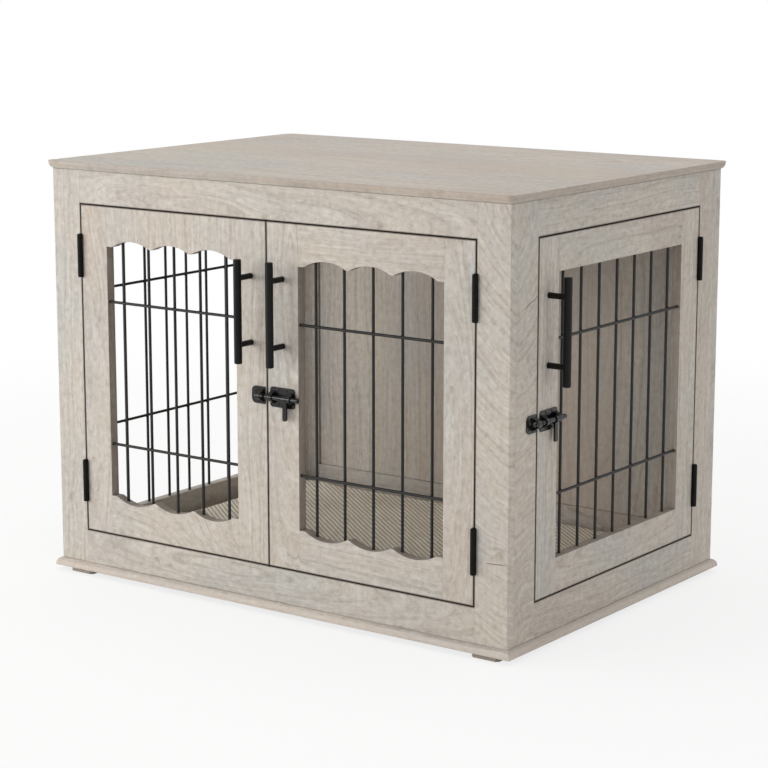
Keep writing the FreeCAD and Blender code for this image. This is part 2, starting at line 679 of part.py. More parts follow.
def latch_plate():
    """Plate and two guides in one piece."""
    span = (BOLT_PLATE_FROM_GAP, BOLT_PLATE_FROM_GAP + BOLT_PLATE_LENGTH)
    plate = backplate(span, BOLT_PLATE_HEIGHT, BOLT_PLATE_CORNER)
    guides = [guide(start, GUIDE_LENGTH, BOLT_RADIUS + BOLT_FIT) for start in GUIDE_STARTS]
    return plate.multiFuse(guides).removeSplitter()


def latch_bolt():
    """Round bolt drawn back, with a turned groove for the lever's eye."""
    bolt = chamfered_stock(bolt_axis(BOLT_TIP_FROM_GAP), X_AXIS, BOLT_LENGTH, BOLT_RADIUS,
                           BOLT_TIP_CHAMFER, BOLT_SIDES)
    start = LEVER_START - LEVER_SIDE_PLAY
    length = LEVER_WIDTH + 2 * LEVER_SIDE_PLAY
    around = stock(bolt_axis(start), X_AXIS, length, BOLT_RADIUS + 1, SOCKET_SIDES)
    core = stock(bolt_axis(start), X_AXIS, length, LEVER_GROOVE_RADIUS, WIRE_SIDES)
    return bolt.cut(around.cut(core))


def latch_lever():
    """Eye closed round the bolt and a flat arm that hangs down, with a rounded end."""
    eye = stock(bolt_axis(LEVER_START), X_AXIS, LEVER_WIDTH, LEVER_EYE_RADIUS, BOLT_SIDES)
    half = LEVER_THICKNESS / 2
    arm = block((LEVER_START, LEVER_END), (-BOLT_AXIS_HEIGHT - half, -BOLT_AXIS_HEIGHT + half),
                (-LEVER_LENGTH, 0))
    arm = eased(arm, Y_AXIS, lambda middle: middle.z < 1 - LEVER_LENGTH, LEVER_WIDTH / 2 - 0.5)
    bore = stock(bolt_axis(LEVER_START), X_AXIS, LEVER_WIDTH, LEVER_GROOVE_RADIUS + LEVER_FIT,
                 FITTING_SIDES, True)
    return eye.fuse(arm).cut(bore).removeSplitter()


def latch_keeper():
    """Plate with the one guide that the bolt slides into."""
    span = (-KEEPER_FROM_GAP - KEEPER_PLATE_LENGTH, -KEEPER_FROM_GAP)
    blank = block(span, (-BOLT_PLATE_THICKNESS, 0), (-KEEPER_PLATE_HEIGHT / 2, KEEPER_PLATE_HEIGHT / 2))
    far = span[0] + 1
    plate = eased(blank, Y_AXIS, lambda middle: middle.x < far, KEEPER_PLATE_CORNER)
    saddle = guide(KEEPER_GUIDE_START, KEEPER_GUIDE_LENGTH, BOLT_RADIUS + KEEPER_PLAY)
    return plate.fuse(saddle).removeSplitter()


# ---- mat ----
def mat_outline(inset, level):
    """A rounded rectangle, some way in from the mat's widest line."""
    half_x = SIDE_BOARD_INSIDE - MAT_MARGIN - inset
    front = FRONT_BOARD_BACK + MAT_MARGIN + inset
    back = BACK_BOARD_FRONT - MAT_MARGIN - inset
    radius = MAT_CORNER_RADIUS
    slab = rounded_slab((-half_x, half_x), (front, back), (level, level + 1), radius)
    bottom = [face for face in slab.Faces if face.CenterOfMass.z < level + 0.01]
    return bottom[0].OuterWire


def mat():
    """A stuffed mat: sides drawn in at the seam, widest at mid-side, crowned on top."""
    rows = [(MAT_DRAWN_IN, MAT_LIFT),
            (0, MAT_WIDEST_HEIGHT),
            (MAT_DRAWN_IN * 2, MAT_EDGE_HEIGHT),
            (MAT_CROWN_INSET / 2, MAT_SHOULDER_HEIGHT),
            (MAT_CROWN_INSET, MAT_CROWN_HEIGHT)]
    return Part.makeLoft([mat_outline(inset, BASE_TOP + height) for inset, height in rows], True, True)


# ---- the whole table ----
def left_grille_opening():
    """The barred left side, seen in its own frame: face at Y = 0, cabinet front towards +X."""
    return (-SIDE_REAR_POST_EDGE, -SIDE_FRONT_POST_EDGE), (BOTTOM_RAIL_TOP, TOP_RAIL_BOTTOM)


def at_left_side(shape):
    turned = shape.rotated(ORIGIN, Z_AXIS, -90)
    return turned.translated(Vector(-HALF_WIDTH, 0, 0))


def cabinet():
    parts = {"top_panel": top_panel(), "base_panel": base_panel(), "feet": feet()}
    low, high = CABINET_RAIL_LEVELS
    post = front_post()
    parts["front_post_right"] = post
    parts["front_post_left"] = mirrored(post)
    parts["front_bottom_rail"] = front_rail(low)
    parts["front_top_rail"] = front_rail(high)
    sides = {"front_post": side_front_post(), "rear_post": side_rear_post(),
             "bottom_rail": side_rail(low), "top_rail": side_rail(high)}
    opening, z_span = left_grille_opening()
    holes = [at_left_side(hole) for hole in grille_holes(opening, z_span)]
    for name, shape in sides.items():
        parts["right_side_" + name] = shape
        parts["left_side_" + name] = mirrored(shape).cut(holes)
    parts["left_side_grille"] = at_left_side(grille(opening, z_span))
    hinge_cut = [at_side_door(cut) for cut in hinge_cuts(frame_side=True)]
    parts["right_side_rear_post"] = parts["right_side_rear_post"].cut(hinge_cut)
    stile = back_stile()
    parts["back_stile_right"] = stile
    parts["back_stile_left"] = mirrored(stile)
    parts["back_bottom_rail"] = back_rail(low)
    parts["back_top_rail"] = back_rail(high)
    parts["back_panel"] = back_panel()
    parts["door_stops"] = door_stops()
    parts["mat"] = mat()
    return parts


def drilled(parts):
    """Bore the slabs and posts for the hidden screws and dowels."""
    screws = base_screws()
    dowels = top_dowels()
    for name in parts:
        if name == "base_panel":
            parts[name] = parts[name].cut(screws)
        elif name == "top_panel":
            parts[name] = parts[name].cut(dowels)
        elif "post" in name or "stile" in name:
            parts[name] = parts[name].cut(screws + dowels)
    parts["base_screws"] = group(screws)
    parts["top_dowels"] = group(dowels)
    return parts


def fittings():
    """Hinges, keepers and bolts."""
    places = (at_left_door, at_right_door, at_side_door)
    parts = {
        "hinge_frame_leaves": group([place(frame_leaf(level)) for place in places for level in HINGE_LEVELS]),
        "hinge_pins": group([place(hinge_pin(level)) for place in places for level in HINGE_LEVELS]),
    }
    for name, place in (("front", at_front_latch), ("side", at_side_latch)):
        parts[name + "_latch_plate"] = place(latch_plate())
        parts[name + "_latch_bolt"] = place(latch_bolt())
        parts[name + "_latch_lever"] = place(latch_lever())
        parts[name + "_latch_keeper"] = place(latch_keeper())
    return parts


def doors():
    front = door(FRONT_DOOR_WIDTH, FRONT_HINGE_STILE, FRONT_LATCH_STILE, SCALLOPED_RAIL, True)
    side = door(SIDE_DOOR_WIDTH, SIDE_STILE, SIDE_STILE, SIDE_DOOR_RAIL, False)
    parts = {}
    for prefix, pieces, place in (("left_door_", front, at_left_door), ("right_door_", front, at_right_door),
                                  ("side_door_", side, at_side_door)):
        for name, shape in pieces.items():
            parts[prefix + name] = place(shape)
    return parts


def outline_middle():
    """Middle of the whole outline in plan: the pulls stand out in front and at the right."""
    edge_x = HALF_WIDTH + SLAB_OVERHANG
    edge_y = HALF_DEPTH + SLAB_OVERHANG
    pull_reach = PULL_STANDOFF + PULL_BAR_RADIUS
    return Vector((HALF_WIDTH + pull_reach - edge_x) / 2, (edge_y - HALF_DEPTH - pull_reach) / 2, 0)


def main():
    os.makedirs("parts", exist_ok=True)
    parts = drilled(cabinet())
    parts.update(fittings())
    parts.update(doors())
    to_origin = -outline_middle()
    for name in sorted(parts):
        shape = parts[name].translated(to_origin)
        shape.exportStep("parts/" + name + ".step")
        print(name, len(shape.Solids), "solid(s)", round(shape.Volume / 1000, 1), "cm3")
    print(len(parts), "nodes; bolt travel", round(BOLT_TRAVEL, 2), "mm")


main()
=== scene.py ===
# %% [markdown]
# # A dog crate end table
#
# The real table is a flat-packed cabinet of printed oak board with black wire grilles, butt hinges, bar
# pulls, slide bolts and a woven mat. Its hard parts come from the CAD frame with their true sizes, so this
# lesson spends its time on what a viewer sees: weathered wood, satin black metal, a stuffed mat, small
# screws and welds, and soft studio light. Loading the frame first means every later piece can be measured
# from it.

# %% Load the frame
import bmesh
import bpy
import math
from mathutils import Matrix, Vector
from mathutils.bvhtree import BVHTree


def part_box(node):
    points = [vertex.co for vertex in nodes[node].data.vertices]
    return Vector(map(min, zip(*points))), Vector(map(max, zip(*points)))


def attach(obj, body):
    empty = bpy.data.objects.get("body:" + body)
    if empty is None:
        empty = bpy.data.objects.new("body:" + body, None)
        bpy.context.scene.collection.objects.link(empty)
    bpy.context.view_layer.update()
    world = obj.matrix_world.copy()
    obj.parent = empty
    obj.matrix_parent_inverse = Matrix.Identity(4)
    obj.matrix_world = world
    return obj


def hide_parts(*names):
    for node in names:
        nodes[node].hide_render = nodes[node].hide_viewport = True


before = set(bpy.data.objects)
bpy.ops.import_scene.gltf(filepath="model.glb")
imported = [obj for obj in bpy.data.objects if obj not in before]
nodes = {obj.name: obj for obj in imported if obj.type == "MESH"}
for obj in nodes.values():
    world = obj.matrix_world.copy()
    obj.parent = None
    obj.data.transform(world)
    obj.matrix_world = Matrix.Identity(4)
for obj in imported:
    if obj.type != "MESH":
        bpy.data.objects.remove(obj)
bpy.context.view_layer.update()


def placed(name, data):
    """A new object in the scene."""
    thing = bpy.data.objects.new(name, data)
    bpy.context.scene.collection.objects.link(thing)
    return thing


# %% [markdown]
# ## A camera where the photographer stood
#
# The photograph is taken from in front of the table's right corner, a little above it, from about three and
# a half metres with a long lens. A camera could be placed by eye, but its place here was worked out from the
# table's own corners, so that they fall where they do in the picture. It looks down a little and has no lens
# shift, which keeps the other views centred.

# %% Camera
CAMERA_PLACE = Vector((2.0142, -2.7896, 0.9675))
CAMERA_TURN = math.radians(35.94)      # to the left of straight ahead
CAMERA_DOWN = math.radians(11.0)
LENS_PIXELS = 2296.9                   # focal length, on a picture 768 pixels wide
PICTURE_SIDE = 768
SENSOR = 36.0

lens = bpy.data.cameras.new("camera")
lens.sensor_width = SENSOR
lens.lens = SENSOR * LENS_PIXELS / PICTURE_SIDE
camera = placed("camera", lens)
camera.location = CAMERA_PLACE
camera.rotation_euler = (math.pi / 2 - CAMERA_DOWN, 0, CAMERA_TURN)
bpy.context.scene.camera = camera
print("camera lens", round(lens.lens, 1), "mm")

# %% [markdown]
# ## Sums on a surface
#
# Every finish below is arithmetic on the place of a point: how far it lies along the grain, how close it is
# to a knot. Blender wants each sum as a Math node. Drawing those by hand hides the formula, so this small
# class wraps a socket and lets ordinary Python sums add the nodes.

# %% Signals and benches
BEVEL_SAMPLES = 4
SHADE_SAMPLES = 6
EDGE_LEAN = (0.995, 0.85)              # likeness of two normals where an edge starts and where it is full


class Signal:
    """One output socket, used like a number."""

    def __init__(self, bench, socket):
        self.bench = bench
        self.socket = socket

    def math(self, operation, first, second):
        return self.bench.node("ShaderNodeMath", {"operation": operation}, {0: first, 1: second})

    def __add__(self, other):
        return self.math("ADD", self, other)

    def __sub__(self, other):
        return self.math("SUBTRACT", self, other)

    def __mul__(self, other):
        return self.math("MULTIPLY", self, other)

    def __truediv__(self, other):
        return self.math("DIVIDE", self, other)

    def __rtruediv__(self, other):
        return self.math("DIVIDE", other, self)

    def __pow__(self, other):
        return self.math("POWER", self, other)

    def larger(self, other):
        return self.math("MAXIMUM", self, other)

    __radd__ = __add__
    __rmul__ = __mul__


class Bench:
    """The node sheet of one finish, or of the world."""

    def __init__(self, name, owner=None):
        self.material = owner or bpy.data.materials.new(name)
        self.material.use_nodes = True
        self.tree = self.material.node_tree
        self.tree.nodes.clear()

    def node(self, kind, settings=None, inputs=None, out=0):
        """Add a node: settings first, then values or links. out is one output or a tuple of several."""
        made = self.tree.nodes.new(kind)
        for setting, value in (settings or {}).items():
            setattr(made, setting, value)
        for place, value in (inputs or {}).items():
            if isinstance(value, Signal):
                self.tree.links.new(value.socket, made.inputs[place])
            else:
                made.inputs[place].default_value = value
        if isinstance(out, tuple):
            return [Signal(self, made.outputs[name]) for name in out]
        return Signal(self, made.outputs[out])

    def place(self):
        """Where the point lies on the table at rest: x, y and z in metres."""
        spot = self.node("ShaderNodeTexCoord", out="Object")
        return self.node("ShaderNodeSeparateXYZ", inputs={0: spot}, out=("X", "Y", "Z"))

    def vector(self, x, y, z):
        return self.node("ShaderNodeCombineXYZ", inputs={0: x, 1: y, 2: z})

    def noise(self, vector, scale, detail=2.0, roughness=0.5):
        return self.node("ShaderNodeTexNoise", inputs={
            "Vector": vector, "Scale": scale, "Detail": detail, "Roughness": roughness})

    def step(self, value, low, high):
        """0 below low, 1 above high and smooth between, or the other way round."""
        settings = {"interpolation_type": "SMOOTHSTEP"}
        return self.node("ShaderNodeMapRange", settings, {0: value, 1: low, 2: high})

    def absolute(self, value):
        return self.node("ShaderNodeMath", {"operation": "ABSOLUTE"}, {0: value})

    def wave(self, value):
        """A sine between 0 and 1."""
        return self.node("ShaderNodeMath", {"operation": "SINE"}, {0: value}) * 0.5 + 0.5

    def blend(self, share, first, second):
        """The first colour, with a share of the second over it."""
        settings = {"data_type": "RGBA"}
        return self.node("ShaderNodeMix", settings, {0: share, 6: first, 7: second}, out=2)

    def soft_edge_normal(self, radius):
        """A normal that runs round sharp edges, as if they were broken with sandpaper."""
        return self.node("ShaderNodeBevel", {"samples": BEVEL_SAMPLES}, {"Radius": radius})

    def edge_mask(self, rounded):
        """1 on edges, 0 on flats: how far the rounded normal leans from the true one."""
        true_normal = self.node("ShaderNodeNewGeometry", out="True Normal")
        alike = self.node("ShaderNodeVectorMath", {"operation": "DOT_PRODUCT"},
                          {0: rounded, 1: true_normal}, out="Value")
        return self.step(alike, *EDGE_LEAN)

    def painted_shade(self, reach, open_share, shut_share):
        """Painted shade: 1 in gaps and tight corners, where occlusion darkens them, 0 on open faces."""
        settings = {"samples": SHADE_SAMPLES}
        openness = self.node("ShaderNodeAmbientOcclusion", settings, {"Distance": reach}, out="AO")
        return self.step(openness, open_share, shut_share)

    def bump(self, height, distance, strength, under=None):
        inputs = {"Height": height, "Distance": distance, "Strength": strength}
        if under:
            inputs["Normal"] = under
        return self.node("ShaderNodeBump", inputs=inputs)

    def finish(self, colour, roughness, normal, **constants):
        """A Principled surface. Constants are set on its own sockets."""
        inputs = {"Base Color": colour, "Roughness": roughness, "Normal": normal}
        for name, value in constants.items():
            inputs[name.replace("_", " ")] = value
        surface = self.node("ShaderNodeBsdfPrincipled", inputs=inputs)
        self.node_out(surface)
        return self.material

    def node_out(self, surface, kind="ShaderNodeOutputMaterial"):
        sheet_end = self.tree.nodes.new(kind)
        self.tree.links.new(surface.socket, sheet_end.inputs["Surface"])


def rgb(red, green, blue):
    """A colour as read off a screen, 0 to 255, made linear."""
    return (*[((value / 255 + 0.055) / 1.055) ** 2.4 for value in (red, green, blue)], 1)


print("a finish is a Bench, a value on it a Signal")

# %% [markdown]
# ## Weathered oak
#
# The board's face is a printed oak, greyed and limed. Three things make it read as oak: growth rings that
# run in long nested arches, short dark pores, and slow drifts between warm beige and cool grey. The rings
# are ovals round a heart, stretched along the grain: with the heart on the board they draw arches, far away
# they draw straight lines, and with little stretch they draw the diagonal swirls near a branch. An image
# would fix one board for ever, while a formula gives each of the thirty boards its own figure.

# %% Ring figures
AXES = {"x": 0, "y": 1, "z": 2}
ARCHES = {"stretch": 0.12, "pitch": 0.0070, "heart_share": 0.3, "contrast": 0.85}
STRAIGHT = {"stretch": 0.03, "pitch": 0.0060, "heart_share": 2.6, "contrast": 0.75}
SWIRL = {"stretch": 0.8, "pitch": 0.0075, "heart_share": 2.4, "contrast": 0.8}
DEPTH_SHARE = 0.8               # grain that goes on over an edge, for each unit of depth
WRAP_STRETCH = 1.3              # grain on a wrapped panel's ends
WRAP_SHIFT = 0.31               # metres
WRAP_TURN = (0.45, 0.75)        # lean of the face where the ends' grain takes over
KNOT_LENGTH = 1.25              # along the grain, for each unit across


def depth_of(along, across):
    """The axis through a board's thickness."""
    return ({0, 1, 2} - {AXES[along], AXES[across]}).pop()


def grain_place(bench, along, across, heart, face, wrapped):
    """Signals across and along the grain, measured from the heart. The depth below the board's face is added
    to across, so that the grain goes on over its edges. A wrapped panel's ends have grain of their own, which
    runs along the edge."""
    place = bench.place()
    depth = (place[depth_of(along, across)] - face) * DEPTH_SHARE
    sideways = place[AXES[across]] + depth - heart[0]
    lengthways = place[AXES[along]] - heart[1]
    if not wrapped:
        return sideways, lengthways
    facing = bench.node("ShaderNodeTexCoord", out="Normal")
    lean = bench.node("ShaderNodeSeparateXYZ", inputs={0: facing}, out="X")
    end_share = bench.step(bench.absolute(lean), *WRAP_TURN)
    return (sideways + (place[2] * WRAP_STRETCH - sideways) * end_share,
            lengthways + (place[AXES[across]] + WRAP_SHIFT - lengthways) * end_share)


def ring_pattern(bench, sideways, lengthways, figure, seed, knots):
    """The ring radius, the run along a ring, the thin dark late wood and the broad tone bands. The last two
    read a one-way noise along the radius: good and bad years make uneven rings, and a sine would not."""
    slow = bench.noise(bench.vector(sideways, lengthways * 0.35, seed), 7.0, 2.0)
    quick = bench.noise(bench.vector(sideways, lengthways * 0.22, seed + 5), 38.0, 3.0, 0.6)
    x = sideways + (slow - 0.5) * 0.05
    y = (lengthways + (slow - 0.5) * 0.09) * figure["stretch"]
    radius = (x * x + y * y) ** 0.5 + (quick - 0.5) * 0.008
    for across_knot, along_knot, size in knots:
        dx = (sideways - across_knot) / size
        dy = (lengthways - along_knot) / (size * KNOT_LENGTH)
        radius = radius + 0.5 * size / (dx * dx + dy * dy + 0.45)
    years = radius / figure["pitch"] + seed
    one_way = {"noise_dimensions": "1D"}
    thin = bench.node("ShaderNodeTexNoise", one_way, {"W": years, "Scale": 1.0, "Detail": 2.0})
    broad = bench.node("ShaderNodeTexNoise", one_way, {"W": years, "Scale": 0.2, "Detail": 2.0})
    run = lengthways
    if figure["stretch"] > 0.5:
        run = bench.node("ShaderNodeMath", {"operation": "ARCTAN2"}, {0: y, 1: x}) * 0.6
    return radius, run, bench.step(thin, 0.47, 0.72), bench.step(broad, 0.38, 0.64)


def knot_mask(bench, sideways, lengthways, size):
    """1 in a knot's core."""
    across = sideways / size
    along = lengthways / (size * KNOT_LENGTH)
    return bench.step(across * across + along * along, 0.9, 0.05)


def crack_mask(bench, sideways, lengthways, length, lean, seed):
    """A thin dark split across the grain that wanders and tapers."""
    wander = bench.noise(bench.vector(sideways, seed, 0.0), 60.0, 2.0)
    off_line = bench.absolute(lengthways - sideways * lean + (wander - 0.5) * 0.006)
    width = bench.step(bench.absolute(sideways), length / 2, length / 5) * 0.0012 + 0.00002
    return bench.step(off_line / width, 1.0, 0.35)


print("three figures: arches, straight and swirl")

# %% [markdown]
# ### From figure to finish
#
# The colour is layered as the print is: a beige ground, grey drifts over it, darker ring lines, limed pale
# streaks, then pores. Without anything else each board would look cut from paper, so shade is painted on
# it: a darker line on its edges, darker thicknesses on the doors and top and a paler one on the base, a dark
# line along each door gap, and dark shade in gaps and tight corners. The same rings and pores give a very
# shallow relief, because the real board is embossed to match its print.

# %% The oak finish
OAK_BEIGE = rgb(190, 182, 171)
OAK_GREY = rgb(178, 176, 171)
OAK_WARM = rgb(180, 163, 149)
OAK_RING = rgb(148, 136, 124)
OAK_PORE = rgb(128, 116, 104)
OAK_LIMED = rgb(210, 206, 199)
OAK_KNOT = rgb(112, 94, 78)
# painted shade along sharp edges
OAK_EDGE_SHADE = rgb(126, 110, 96)
# painted shade for door gaps, creases and tight corners
OAK_SHADE = rgb(58, 47, 39)
OAK_ROUNDING = 0.0009           # radius of a sanded edge
RIM_FADE = (0.0016, 0.0008)     # metres from a door gap: none, full
SHADE_REACH = 0.02


def edge_faces(bench, depth_axis):
    """1 on a board's thickness, 0 on its two faces."""
    facing = bench.node("ShaderNodeTexCoord", out="Normal")
    lean = bench.node("ShaderNodeSeparateXYZ", inputs={0: facing}, out="XYZ"[depth_axis])
    return bench.step(bench.absolute(lean), 0.85, 0.45)


def gap_shade(bench, outline, growth):
    """Painted gap shade: 1 within a millimetre of a door's outline, which may be grown to the frame's side of
    the gap.
    """
    place = bench.place()
    axis, low, high = outline
    farthest = None
    for part, start, end in ((place[axis], low[axis], high[axis]), (place[2], low.z, high.z)):
        beyond = bench.absolute(part - (start + end) / 2) - ((end - start) / 2 + growth)
        farthest = beyond if farthest is None else farthest.larger(beyond)
    return bench.step(bench.absolute(farthest), *RIM_FADE)


def oak(name, along, across, heart, face, figure, seed, knots=(), cracks=(), planks=0.0, wrapped=False,
        edge=None, outlines=(), growth=0.0):
    """One board's finish. heart is (across, along) in metres; knots and cracks are placed on the board. edge
    is the colour and share painted on its thickness, shade on the doors and the top, and outlines are the
    doors whose gaps get a painted shade line."""
    bench = Bench(name)
    sideways, lengthways = grain_place(bench, along, across, heart, face, wrapped)
    moved = [(a - heart[0], b - heart[1], size) for a, b, size in knots]
    radius, run, rings, bands = ring_pattern(bench, sideways, lengthways, figure, seed, moved)

    clouds = bench.noise(bench.vector(sideways, lengthways * 0.4, seed + 9), 9.0, 3.0)
    warmth = bench.noise(bench.vector(sideways, lengthways * 0.3, seed + 13), 4.5, 2.0)
    streaks = bench.noise(bench.vector(radius * 26, run * 1.6, seed), 9.0, 4.0, 0.65)
    fibres = bench.noise(bench.vector(radius * 20, run, seed + 3), 45.0, 3.0, 0.7)
    pores = bench.noise(bench.vector(radius * 17, run, seed + 7), 60.0, 2.0, 0.5)
    pore_mask = bench.step(pores, 0.56, 0.68) * (0.45 + rings * 0.55)
    mottle = bench.noise(bench.vector(sideways, lengthways * 0.7, seed + 21), 130.0, 3.0, 0.6)
    flecks = bench.noise(bench.vector(sideways, lengthways * 4, seed + 25), 46.0, 3.0, 0.6)

    colour = OAK_BEIGE
    for share, paint in (
            (bench.step(clouds, 0.35, 0.68), OAK_GREY),
            (bench.step(warmth, 0.46, 0.74) * 0.6, OAK_WARM),
            (bands * (0.26 * figure["contrast"]), OAK_WARM),
            (rings * (0.42 * figure["contrast"]), OAK_RING),
            (bench.step(streaks, 0.48, 0.74) * 0.5, OAK_LIMED),
            (bench.step(streaks, 0.48, 0.24) * 0.5, OAK_RING),
            (bench.step(flecks, 0.55, 0.76) * 0.12, OAK_LIMED),
            (bench.step(mottle, 0.5, 0.3) * 0.34, OAK_RING),
            (bench.step(mottle, 0.5, 0.7) * 0.32, OAK_LIMED),
            (pore_mask * 0.45, OAK_PORE)):
        colour = bench.blend(share, colour, paint)
    for across_knot, along_knot, size in moved:
        core = knot_mask(bench, sideways - across_knot, lengthways - along_knot, size * 0.75)
        colour = bench.blend(core * fibres * 0.5, colour, OAK_KNOT)
    for across_crack, along_crack, length, lean in cracks:
        split = crack_mask(bench, sideways - (across_crack - heart[0]),
                           lengthways - (along_crack - heart[1]), length, lean, seed)
        colour = bench.blend(split * 0.75, colour, OAK_KNOT)
    if planks:
        number = bench.node("ShaderNodeMath", {"operation": "FLOOR"}, {0: sideways / planks + seed})
        tone = bench.node("ShaderNodeTexWhiteNoise", {"noise_dimensions": "1D"}, {"W": number}, out="Value")
        colour = bench.blend(tone * 0.42, colour, OAK_WARM)
    # painted shade on the thicknesses of the doors and the top; a paler tone on the base
    if edge:
        edge_colour, edge_share = edge
        colour = bench.blend(edge_faces(bench, depth_of(along, across)) * edge_share, colour, edge_colour)
    rounded = bench.soft_edge_normal(OAK_ROUNDING)
    # painted shade: a darker line on every sharp edge
    colour = bench.blend(bench.edge_mask(rounded) * 0.3, colour, OAK_EDGE_SHADE)
    # painted shade: a dark line along each door gap, on the door and on the frame beside it
    for outline in outlines:
        colour = bench.blend(gap_shade(bench, outline, growth) * 0.6, colour, OAK_SHADE)
    # painted shade: dark in gaps, creases and tight corners, from ambient occlusion
    colour = bench.blend(bench.painted_shade(SHADE_REACH, 0.7, 0.2) * 0.85, colour, OAK_SHADE)

    height = fibres * 0.5 - pore_mask * 0.9 - rings * 0.25
    normal = bench.bump(height, 0.00035, 0.35, rounded)
    roughness = 0.56 + fibres * 0.12 - rings * 0.06
    return bench.finish(colour, roughness, normal, Specular_IOR_Level=0.35)


def coat(form, material):
    """Make this the only material of a mesh or curve."""
    form.materials.clear()
    form.materials.append(material)


def give(node, material):
    """Put a finish on a CAD node."""
    coat(nodes[node].data, material)


print("oak has rings, bands, pores, limed streaks and flecks")

# %% [markdown]
# ### Which way each board runs
#
# On the real table posts and stiles run upright, rails run along their length, and the left door's top rail
# is cut across from an upright panel. The heart of each board is set so that a few show arches, as in a
# row of real boards, and most run straight. Two boards have what the photograph shows best: the right front
# post with its diagonal swirl, knot and split, and the side's front post with a split beside the latch.

# %% Board plan
HEART_TURN = 0.618              # the golden share spreads the hearts evenly along the boards
SEED_STEP = 3.7


def board_axes(name):
    """The way along the grain and the way across it, from the board's name."""
    faces_side = "side" in name
    if name in ("top_panel", "base_panel"):
        return "x", "y"
    upright = any(word in name for word in ("post", "stile", "back_panel")) or name == "left_door_top_rail"
    if upright:
        return "z", ("y" if faces_side else "x")
    return ("y" if faces_side else "x"), "z"


def heart_of(name, along, across, figure, number):
    """Across and along: on the board, or beside it at the figure's share of the board's width."""
    low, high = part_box(name)
    a, b = AXES[across], AXES[along]
    middle = (low[a] + high[a]) / 2
    width = high[a] - low[a]
    side = 1 if number % 2 else -1
    along_share = 0.2 + 0.6 * ((number * HEART_TURN) % 1)
    return middle + side * width * figure["heart_share"], low[b] + (high[b] - low[b]) * along_share


def face_of(name, along, across):
    """The depth of the face that people see."""
    low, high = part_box(name)
    depth = depth_of(along, across)
    seen_low = depth == 1 and "back" not in name or name.startswith("left_side") or name == "base_panel"
    return low[depth] if seen_low else high[depth]


# Boards that the photograph shows well. A knot is (across, along, radius) on the board, a crack is (across,
# along, length, lean), and planks is the width of the boards that a panel is printed with.
CARE = {
    "front_post_right": {
        "figure": SWIRL, "heart": (0.52, 0.8), "knots": [(0.386, 0.153, 0.012)],
        "cracks": [(0.378, 0.137, 0.043, 0.1)]},
    "right_side_front_post": {
        "figure": SWIRL, "heart": (-0.36, 0.7), "knots": [(-0.232, 0.413, 0.009), (-0.262, 0.44, 0.007)],
        "cracks": [(-0.226, 0.49, 0.045, 0.45)]},
    "front_post_left": {"figure": STRAIGHT, "knots": [(-0.404, 0.12, 0.012)]},
    "left_door_hinge_stile": {"figure": ARCHES, "knots": [(-0.338, 0.405, 0.009)]},
    "left_door_bottom_rail": {"figure": SWIRL, "heart": (-0.02, -0.32)},
    "front_bottom_rail": {
        "figure": ARCHES, "knots": [(0.047, -0.231, 0.007), (0.040, -0.205, 0.005), (0.022, 0.221, 0.004)]},
    "front_top_rail": {"figure": ARCHES},
    "right_door_hinge_stile": {"figure": ARCHES, "cracks": [(0.318, 0.165, 0.0025, 9.0)]},
    "back_panel": {"figure": ARCHES, "planks": 0.095},
    "top_panel": {"figure": ARCHES, "planks": 0.118, "wrapped": True},
    "base_panel": {"figure": STRAIGHT, "wrapped": True},
}

DOOR_GAP = 0.002
# colour and share on a board's thickness: painted shade on the doors and the top, a paler tone on the base
DOOR_THICKNESS_SHADE = (rgb(104, 91, 79), 0.48)
# painted shade on the top panel's thickness
TOP_THICKNESS_SHADE = (rgb(158, 140, 126), 0.45)
BASE_EDGE = (rgb(204, 191, 181), 0.45)
outlines = {}
for door, axis in (("left_door", 0), ("right_door", 0), ("side_door", 1)):
    hinge_low, hinge_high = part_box(door + "_hinge_stile")
    latch_low, latch_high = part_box(door + "_latch_stile")
    outlines[door] = (axis, Vector(map(min, hinge_low, latch_low)), Vector(map(max, hinge_high, latch_high)))


def surroundings(name):
    """What a board's thickness is painted with (shade on the doors and top, a paler tone on the base), and
    the door gaps that it has.
    """
    for door, outline in outlines.items():
        if name.startswith(door):
            return {"edge": DOOR_THICKNESS_SHADE, "outlines": [outline]}
    if name.startswith("front"):
        return {"outlines": [outlines["left_door"], outlines["right_door"]], "growth": DOOR_GAP}
    if name.startswith("right_side"):
        return {"outlines": [outlines["side_door"]], "growth": DOOR_GAP}
    return {"top_panel": {"edge": TOP_THICKNESS_SHADE}, "base_panel": {"edge": BASE_EDGE}}.get(name, {})


oak_boards = [name for name in sorted(nodes) if name != "mat" and any(
    word in name for word in ("post", "stile", "rail", "panel", "stops")) and "pull" not in name]
for number, name in enumerate(oak_boards):
    along, across = board_axes(name)
    plan = {**CARE.get(name, {}), **surroundings(name)}
    figure = plan.pop("figure", ARCHES if number % 3 == 0 else STRAIGHT)
    heart = plan.pop("heart", None) or heart_of(name, along, across, figure, number)
    face = face_of(name, along, across)
    give(name, oak("oak_" + name, along, across, heart, face, figure, seed=number * SEED_STEP, **plan))
print(len(oak_boards), "boards have an oak finish")

# %% [markdown]
# ## Satin black metal
#
# Wires, hinges and pulls are powder coated. Powder melts into a very fine orange peel and its sheen varies
# a little, and hands polish the pulls. The slide bolts are dipped and shinier. One function makes all
# four from their sheen, peel, dust, shade and gloss, because the real parts differ in nothing else.

